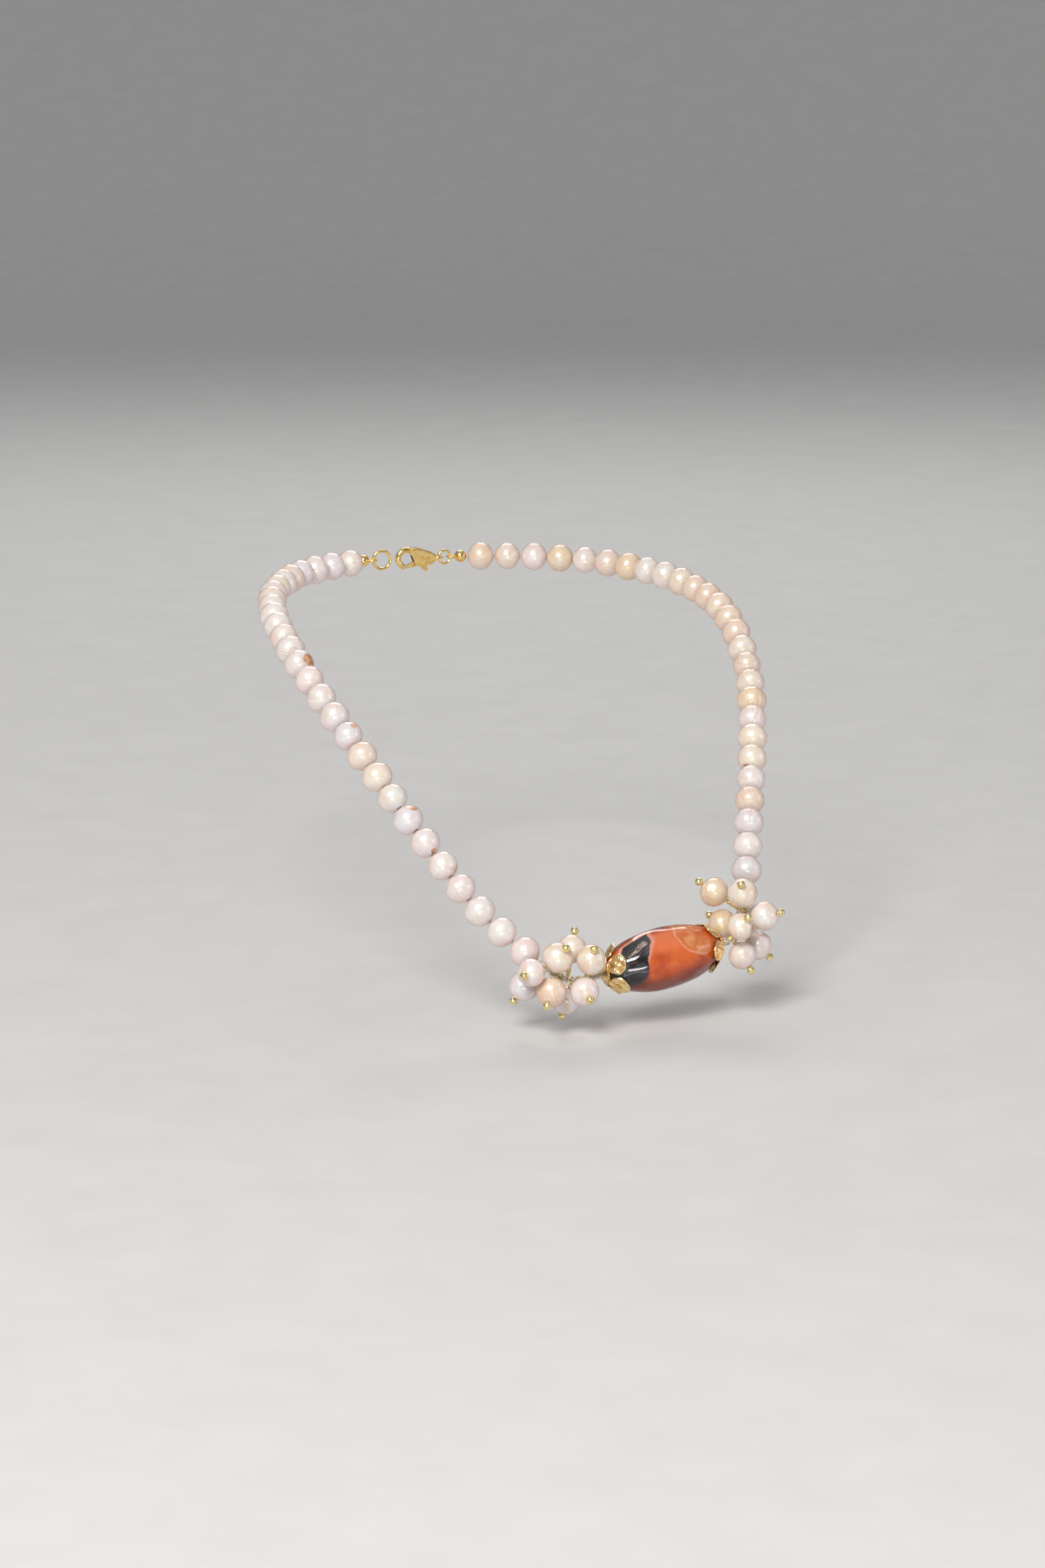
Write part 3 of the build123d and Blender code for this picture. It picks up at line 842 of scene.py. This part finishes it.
def headpin(facts, seed):
    """Wire with a ball head: it runs through the pearl, loops round the thread and wraps its neck."""
    rng = random.Random(seed)
    z, x = facts["axis"], facts["hole"]
    y = np.cross(z, x)
    origin = facts["loop"]
    reach = (facts["centre"] - origin) @ z
    pearl_near = reach - facts["length"] / 2
    head_z = reach + facts["head"] - HEAD_R

    def at(px, py, pz):
        return origin + px * x + py * y + pz * z

    shaft = [head_z - 0.5 * HEAD_R, reach, pearl_near]
    shaft += list(np.linspace(pearl_near - 0.2, LOOP_R + 0.55, 4))
    path = [at(0, 0, height) for height in shaft]
    sweep = np.radians(np.linspace(-62, 262, 30))
    for lean, angle in zip(np.linspace(-LOOP_LEAN, LOOP_LEAN, len(sweep)), sweep):
        path.append(at(lean, -LOOP_R * math.cos(angle), -LOOP_R * math.sin(angle)))
    wrap_from, wrap_to = LOOP_R + NECK_START, pearl_near - NECK_GAP
    turns = max(1.5, (wrap_to - wrap_from) / WRAP_PITCH)
    steps = int(turns * WRAP_STEPS)
    loop_end = path[-1] - origin
    start = math.atan2(loop_end @ y, loop_end @ x)
    for share in np.arange(steps + 1) / steps:
        angle = start + 2 * math.pi * turns * share
        height = wrap_from + (wrap_to - wrap_from) * share
        path.append(at(2 * WIRE_R * math.cos(angle), 2 * WIRE_R * math.sin(angle), height))
    ball, faces = ico_ball(3)
    ball = ball * (HEAD_R * (0.96 + wobble(ball, [(1.1, 0.035), (0.6, 0.02)], rng)))[:, None]
    ball = origin + z * head_z + ball
    return [tube(path, WIRE_R), (ball, faces, {"place": ball})]


def ico_ball(subdivisions):
    bm = bmesh.new()
    bmesh.ops.create_icosphere(bm, subdivisions=subdivisions, radius=1.0)
    points = np.array([v.co for v in bm.verts])
    faces = np.array([[v.index for v in f.verts] for f in bm.faces])
    bm.free()
    return points, faces


# ------------ agate bead

FORWARD = unit(TO_LENS - AGATE["axis"] * (TO_LENS @ AGATE["axis"]))
LIFT = np.cross(FORWARD, AGATE["axis"])
MID_R = 6.6  # turns an angle round the bead into a length on its surface

# Zones of the stone: (distance along the bead from its middle, angle round it from the front, upwards)
DARK_PATCH = [
    (-2.9, 71), (-3.4, 51), (-4.3, 28), (-5.2, 17), (-6.1, 5), (-6.2, -12), (-6.6, -30),
    (-7.8, -45), (-10.1, -52), (-12.1, -52), (-14.6, -45), (-14.6, 30), (-12.6, 38),
    (-10.4, 52), (-9.6, 60), (-7.2, 65), (-5.1, 68),
]
LENS_ZONE = [
    (4.1, 100), (3.1, 61), (2.8, 40), (3.0, 21), (3.9, 8), (5.1, 0), (7.0, -8), (9.0, -15),
    (10.6, -12), (11.2, 9), (11.0, 35), (10.8, 90), (7.1, 120),
]
VEINS = [
    [(-10.5, 2), (-11.1, -8), (-11.6, -19)],
    [(-11.5, -18), (-8.8, -15), (-6.4, -16)],
    [(-12.9, 6), (-11.5, 3), (-10.0, 4)],
]
AMBER_VEIN = [(-11.4, 17), (-10.2, 10), (-8.5, 11)]
CAVITY = ((-9.7, 26), (-5.2, 44))
CAVITY_HALF_WIDTH = 0.78
# HOLE is a pit in the druzy; it is coloured near black as painted shade.
HOLE = (-7.1, 38)
FULL_BARREL = 15.3 / 14.3  # the barrel's ellipse against the bead, whose ends are cut off
AGATE_ROWS, AGATE_SEGMENTS = 230, 320
AGATE_BORE_R = 0.6
FACETS, FACET_SHARPNESS = 9, 60  # facets in each ring round the bead


def flat(points):
    """Zone points as places in mm on the bead's unrolled surface."""
    return np.array([(t, math.radians(angle) * MID_R) for t, angle in points])


def run_distance(q, points):
    """Distance from each q to a line through points, on the bead's unrolled surface."""
    best = np.full(len(q), 1e9)
    for a, b in zip(points, points[1:]):
        ab = b - a
        t = np.clip(((q - a) @ ab) / (ab @ ab), 0, 1)
        best = np.minimum(best, np.linalg.norm(q - a - t[:, None] * ab, axis=1))
    return best


def zone_depth(q, corners):
    """How far inside a zone each q is, on the bead's unrolled surface; negative outside."""
    corners = flat(corners)
    closed = np.vstack([corners, corners[:1]])
    inside = np.zeros(len(q), bool)
    for (x0, y0), (x1, y1) in zip(closed, closed[1:]):
        crosses = (y0 > q[:, 1]) != (y1 > q[:, 1])
        level = np.where(y1 == y0, 1e-9, y1 - y0)
        inside ^= crosses & (q[:, 0] < (x1 - x0) * (q[:, 1] - y0) / level + x0)
    return run_distance(q, closed) * np.where(inside, 1, -1)


def faceted(directions, rng):
    """Scale that turns a smooth barrel into one with soft, hand-cut facets."""
    normals, heights = [], []
    for row, lift in enumerate((-0.62, -0.22, 0.2, 0.6)):
        ring = math.sqrt(1 - lift * lift)
        for k in range(FACETS):
            angle = 2 * math.pi * (k + 0.5 * (row % 2) + rng.uniform(-0.12, 0.12)) / FACETS
            tilt = lift + rng.uniform(-0.04, 0.04)
            normals.append((ring * math.cos(angle), ring * math.sin(angle), tilt))
            heights.append(rng.uniform(0.950, 0.972))
    normals = np.array(normals)
    normals /= np.linalg.norm(normals, axis=1)[:, None]
    cut = np.maximum(directions @ normals.T, 0) / np.array(heights)
    return 1 / (1 + (cut**FACET_SHARPNESS).sum(1)) ** (1 / FACET_SHARPNESS)


def make_agate(mat):
    rng = random.Random(11)
    axis, centre = AGATE["axis"], AGATE["centre"]
    half, radius = AGATE["length"] / 2, AGATE["width"] / 2
    stations = [-half, *np.linspace(-half + 0.02, half - 0.02, AGATE_ROWS), half]
    around = np.radians(np.linspace(-180, 180, AGATE_SEGMENTS, endpoint=False))
    tt, aa = (grid.ravel() for grid in np.meshgrid(stations, around, indexing="ij"))
    up, round_mm = np.degrees(aa), aa * MID_R
    share = tt / (FULL_BARREL * half)
    ring = np.sqrt(np.clip(1 - share**2, 0, 1))
    directions = np.stack([ring * np.cos(aa), ring * np.sin(aa), share], axis=1)
    cut = faceted(directions, rng)
    ball = directions * 7  # where each point is for the wobbles, roughly in mm
    ring_r = radius * ring * np.where(ring > 0.2, cut, 1) / cut.max()
    ring_r += wobble(ball, [(6.0, 0.03), (2.5, 0.008)], rng)
    q = np.stack([tt, round_mm], axis=1)
    ragged = q.copy()
    ragged[:, 0] += wobble(ball, [(3.0, 0.22), (1.2, 0.08)], rng)
    ragged[:, 1] += wobble(ball, [(3.3, 0.22), (1.1, 0.08)], rng)
    dark_depth = zone_depth(ragged, DARK_PATCH)
    soft = 0.12 + 1.5 * smooth(-up, 8, 45)
    dark = smooth(dark_depth, -soft, soft * 0.6)
    rim = ridge(dark_depth + 0.2, 0.2) * smooth(up, -10, 20) * (0.45 + 0.55 * smooth(-tt, 3.5, 6.0))
    rim += 0.5 * ridge(dark_depth + 0.55, 0.5) * smooth(up, 5, 40)
    lens_depth = zone_depth(ragged, LENS_ZONE)
    lens = smooth(lens_depth, -0.1, 0.25) * (0.92 - 0.5 * smooth(tt, 7.5, 12.5))
    line = 0.8 * ridge(lens_depth, 0.2) * smooth(-tt, -10.5, -8.0)
    start, end = flat(CAVITY)
    along = (q - start) @ unit(end - start) / np.linalg.norm(end - start)
    off = run_distance(q, flat(CAVITY)) + wobble(ball, [(0.9, 0.08)], rng)
    taper = CAVITY_HALF_WIDTH * (0.35 + 0.65 * smooth(along, 0.05, 0.75))
    druzy = 1 - smooth(off, taper * 0.75, taper)
    # The pit's mask; the pit is coloured near black as painted shade inside it.
    hole = 1 - smooth(np.linalg.norm(q - flat([HOLE])[0], axis=1), 0.16, 0.3)
    bands = 0.5 + 0.5 * np.sin(run_distance(ragged, flat(CAVITY)) * 9.0)
    veins = 0.28 * bands * smooth(up, 5, 25) * smooth(-off, -3.2, -0.9)
    for vein in VEINS:
        veins = np.maximum(veins, ridge(run_distance(ragged, flat(vein)), 0.09))
    blue = 0.7 * ridge(tt + 12.3, 1.3) * ridge(round_mm - 1.2, 1.9)
    amber = 0.8 * ridge(run_distance(ragged, flat(AMBER_VEIN)), 0.1)
    # Painted shade: the stone is coloured darker towards the bottom, along the top of its left half and low
    # at its right end by the cap; the small spot just left of the middle is the stone's own colour.
    deep = 0.8 * smooth(-up, 12, 62) + 0.62 * smooth(up, 60, 80) * smooth(-tt, -4, -1)
    deep += 0.75 * smooth(tt, 9.8, 12.5) * smooth(-up, -40, 10)
    deep = np.maximum(deep, 0.42 * ridge(tt + 2.9, 1.7) * ridge(round_mm - 0.8, 1.0))
    # Painted light: the upper front of the middle of the bead is coloured paler, where light falls on it.
    painted_light = 0.75 * smooth(up, -12, 22) * (1 - smooth(up, 52, 68))
    painted_light *= smooth(tt, -5.0, -1.5) * (1 - smooth(tt, 4, 8))
    crystals = wobble(ball, [(0.5, 0.5), (0.32, 0.4)], rng)
    ring_r -= druzy * (0.28 + 0.12 * crystals) + hole * 0.5
    outwards = np.cos(aa)[:, None] * FORWARD + np.sin(aa)[:, None] * LIFT
    rows = [centre + tt[:, None] * axis + ring_r[:, None] * outwards]
    bore_levels = (half - 0.05, half - 0.6, -half + 0.6, -half + 0.05)
    for level in bore_levels:
        rows.append(centre + level * axis + AGATE_BORE_R * outwards[:AGATE_SEGMENTS])
    points = np.vstack(rows)
    zones = {
        "dark": np.clip(dark, 0, 1),
        "rim": np.clip(np.maximum(rim, line * 0.9), 0, 1),
        "lens": np.clip(lens * (1 - dark), 0, 1),
        "vein": np.clip(veins * dark * (1 - druzy), 0, 1) * 0.8,
        "druzy": druzy,
        "hole": hole,
        "blue": np.clip(blue, 0, 1),
        # The next two zones are painted shade and painted light.
        "deep": np.clip(deep, 0, 1) * (1 - lens * 0.5),
        "painted_light": np.clip(painted_light, 0, 1),
        "amber": amber * dark,
    }
    in_bore = np.zeros(len(points) - len(tt))
    values = {"place": points - centre}
    values.update({zone: np.concatenate([share, in_bore]) for zone, share in zones.items()})
    faces = grid_faces(len(stations) + len(bore_levels), AGATE_SEGMENTS, wrap_rows=True)
    add_piece("agate", "agate", ["agate_bead"], mat, [(points, faces, values)])


# ------------ flower caps

PETALS = 5
PETAL_ROOT_R, PETAL_LENGTH, PETAL_WIDTH, PETAL_T = 2.5, 5.4, 5.0, 0.42
PETAL_OPENING = math.radians(45)
PETAL_RINGS, PETAL_SEGMENTS = 22, 72
PLATE_HALF = 0.3  # half of the boss's thickness
BOSS_PROFILE = [
    (0.55, -0.22), (0.55, 0.2), (0.7, 0.34), (1.2, 0.3), (1.9, 0.22), (2.5, 0.26), (2.85, 0.1),
    (2.85, -0.12), (2.5, -0.28), (1.2, -0.3), (0.7, -0.3),
]


def cap_parts(node, outward, seed):
    """Hammered cap: cupped petals on a drilled boss. outward points from the bead to its cluster."""
    rng = random.Random(seed)
    points = np.vstack([t.reshape(-1, 3) for t in solids_of(node)]) - AGATE["centre"]
    along, off = split(points, outward)
    first = unit(points[off.argmax()] - along[off.argmax()] * outward)
    second = np.cross(outward, first)
    origin = AGATE["centre"] + outward * (along.max() - PLATE_HALF)
    parts = []
    for k in range(PETALS):
        angle = 2 * math.pi * k / PETALS
        radial = math.cos(angle) * first + math.sin(angle) * second
        parts.append(petal(origin, radial, np.cross(outward, radial), outward, rng))
    boss, faces, _ = lathe(origin, outward, BOSS_PROFILE, 64)
    lumps = wobble(boss, [(1.6, 0.05), (0.8, 0.03)], rng)
    boss = boss + outward * lumps[:, None]
    # Painted light and shade: the boss is coloured lighter where its lumps stand up.
    parts.append((boss, faces, {"place": boss, "relief_light_shade": 0.35 + 3 * lumps}))
    return parts


def petal(origin, radial, side, outward, rng):
    """One petal, cupped towards the bead, with a crinkled face and an uneven rim."""
    reach = math.sin(PETAL_OPENING) * radial - math.cos(PETAL_OPENING) * outward
    face = np.cross(side, reach)
    face = face if face @ outward > 0 else -face
    shares = np.sin(np.linspace(0, math.pi / 2, PETAL_RINGS))
    turn = np.linspace(0, 2 * math.pi, PETAL_SEGMENTS, endpoint=False)
    ss, tt = (grid.ravel() for grid in np.meshgrid(shares, turn, indexing="ij"))
    waves = 0.035 * np.sin(3 * tt + rng.uniform(0, 6)) + 0.02 * np.sin(7 * tt + rng.uniform(0, 6))
    edge = 1 + waves - 0.03
    a = PETAL_LENGTH / 2 * (1 + ss * edge * np.cos(tt))
    b = PETAL_WIDTH / 2 * ss * edge * np.sin(tt) * (0.86 + 0.14 * smooth(a, 0.3, 2.4))
    unrolled = np.stack([a, b, np.full(len(a), rng.uniform(0, 30))], axis=1)
    crinkle = wobble(unrolled, [(3.2, 0.10), (1.5, 0.06), (0.8, 0.03), (0.45, 0.012)], rng)
    fold = -0.12 * ridge(b, 0.28) * smooth(-a, -4.2, -1.0)
    cup = -0.055 * b**2 - 0.03 * np.maximum(a - 3.2, 0) ** 2
    lip = 0.16 * ridge(ss - 0.93, 0.07)
    lift = crinkle * (1 - 0.5 * ss**6) + fold + cup + lip
    half = PETAL_T / 2 * np.sqrt(np.clip(1 - ss**12, 0, 1))
    base = origin + PETAL_ROOT_R * radial + a[:, None] * reach + b[:, None] * side
    top = base + (lift + half)[:, None] * face
    under = base + (0.6 * lift - half)[:, None] * face
    middles = [sheet[:PETAL_SEGMENTS].mean(0) for sheet in (top, under)]
    order = np.arange(len(a)).reshape(PETAL_RINGS, PETAL_SEGMENTS)
    front, back = order[1:].ravel(), order[-2:0:-1].ravel()  # the rim's points are shared
    points = np.vstack([top[front], under[back], *middles])
    rows = 2 * (PETAL_RINGS - 1) - 1
    last, bottom = rows * PETAL_SEGMENTS, (rows - 1) * PETAL_SEGMENTS
    pairs = [(i, (i + 1) % PETAL_SEGMENTS) for i in range(PETAL_SEGMENTS)]
    faces = grid_faces(rows, PETAL_SEGMENTS).tolist()
    faces += [[last, i, after] for i, after in pairs]
    faces += [[last + 1, bottom + after, bottom + i] for i, after in pairs]
    # Painted light and shade: the petal is coloured lighter on its crinkled ridges and its lip, darker in
    # its hollows and along its middle fold.
    relief_light_shade = np.concatenate([(crinkle + 0.6 * lip + fold)[front], crinkle[back], [0.0, 0.0]])
    return points, faces, {"place": points, "relief_light_shade": np.clip(0.55 + 2.4 * relief_light_shade, 0, 1)}


def make_caps(mat):
    for side, sign in SIGNS.items():
        node = f"{side}_flower_cap"
        parts = cap_parts(node, sign * AGATE["axis"], 40 + sign)
        add_piece(f"{side}_cap_petals", f"{side}_cap", [node], mat, parts)


# ------------ small beads and thread

THREAD_R, THREAD_STEP = 0.25, 0.7
PAST_AGATE = 14.8  # from the agate's middle to where the thread has left it
PAST_LAST_PEARL = 5.0  # from the last pearl's middle to the thread's end


def make_core_beads(mat):
    parts = []
    for triangles in solids_of("cluster_core_beads"):
        facts = bead_facts(triangles)
        radius, half, hole = facts["width"] / 2, facts["length"] / 2, facts["bore"] / 2
        profile = [(hole, -half * 0.8)]
        for u in np.linspace(math.pi - 0.25, 0.25, 12):
            profile.append((hole + (radius - hole) * math.sin(u) ** 0.6, half * math.cos(u)))
        profile.append((hole, half * 0.8))
        parts.append(lathe(facts["centre"], facts["axis"], profile, 28))
    add_piece("core_beads", "front", ["cluster_core_beads"], mat, parts)


def smooth_path(points):
    """Points along a Catmull-Rom curve through the given ones."""
    points = [np.asarray(p, float) for p in points]
    padded = [2 * points[0] - points[1], *points, 2 * points[-1] - points[-2]]
    out = []
    for p0, p1, p2, p3 in zip(padded, padded[1:], padded[2:], padded[3:]):
        square, cube = 2 * p0 - 5 * p1 + 4 * p2 - p3, 3 * p1 - p0 - 3 * p2 + p3
        count = max(2, int(np.linalg.norm(p2 - p1) / THREAD_STEP))
        for t in np.arange(count) / count:
            out.append(0.5 * (2 * p1 + (p2 - p0) * t + square * t * t + cube * t**3))
    out.append(points[-1])
    return out


def make_thread(mat):
    joints = frame["record"]["behaviour"]["joints"]
    joint_at = {joint["child"]: np.array(joint["pos_m"]) / MM for joint in joints}
    halves = {}
    for side, sign in SIGNS.items():
        exit_point = AGATE["centre"] + sign * AGATE["axis"] * PAST_AGATE
        loops = [drop["loop"] for drop in DROPS[side]]
        loops.sort(key=lambda p: np.linalg.norm(p - AGATE["centre"]))
        pearls = [pearl["centre"] for pearl in STRANDS[side][0]]
        halves[side] = [exit_point, *loops, *pearls, joint_at[f"{side}_strand_2"]]
    front = halves["left"][::-1] + [AGATE["centre"]] + halves["right"]
    run = tube(smooth_path(front), THREAD_R)
    add_piece("thread_front", "front", ["beading_thread"], mat, [run])
    for side, groups in SIDES.items():
        for group in range(2, groups + 1):
            body = f"{side}_strand_{group}"
            pearls = STRANDS[side][group - 1]
            if group < groups:
                end = joint_at[f"{side}_strand_{group + 1}"]
            else:
                end = pearls[-1]["centre"] + pearls[-1]["axis"] * PAST_LAST_PEARL
            path = [joint_at[body], *(pearl["centre"] for pearl in pearls), end]
            run = tube(smooth_path(path), THREAD_R)
            add_piece(f"{side}_thread_{group}", body, [], mat, [run])


# ------------ clasp

GILT_NODES = (
    "left_bead_tip", "right_bead_tip", "end_ring", "clasp_ring", "clasp_body", "clasp_lever",
    "clasp_rivet",
)


def finish_cad_nodes(bright, steel):
    """The clasp's own CAD shapes stay, with their finish."""
    finishes = {node: (bright, "clasp_gold") for node in GILT_NODES}
    finishes["clasp_spring"] = (steel, "spring_steel")
    for node, (mat, slot) in finishes.items():
        mesh = frame["nodes"][node].data
        mesh.materials.clear()
        mesh.materials.append(mat)


# ------------ the whole scene

bpy.context.scene.view_settings.view_transform = "Standard"
make_camera()
make_studio()
make_floor()
STRAND_NACRE = nacre("strand_nacre", 0.35, 0.85)
CLUSTER_NACRE = nacre("cluster_nacre", 0.65, 0.9)
# On the caps, the light and dark colours are also painted light on raised metal and painted shade in the
# hollows.
CAP_GOLD = gold(
    "cap_gold", (1.0, 0.90, 0.68), (0.96, 0.76, 0.44), (0.62, 0.38, 0.14), 0.22, 0.9,
    place="place", relief_light_shade="relief_light_shade", depth=0.00012,
)
PIN_GOLD = gold(
    "pin_gold", (0.99, 0.94, 0.72), (0.95, 0.84, 0.52), (0.74, 0.58, 0.24), 0.24, 1.6,
    place="place",
)
CLASP_GOLD = gold(
    "clasp_gold", (1.0, 0.88, 0.60), (0.95, 0.76, 0.42), (0.70, 0.48, 0.20), 0.17, 0.8,
    depth=0.00001,
)
SPRING_STEEL = gold(
    "spring_steel", (0.86, 0.86, 0.87), (0.70, 0.70, 0.72), (0.45, 0.45, 0.47), 0.22, 3.0,
    depth=0.00001,
)
make_strand(STRAND_NACRE)
make_drops(CLUSTER_NACRE, PIN_GOLD)
make_agate(agate_stone())
make_caps(CAP_GOLD)
make_core_beads(glass_bead())
make_thread(nylon())
finish_cad_nodes(CLASP_GOLD, SPRING_STEEL)
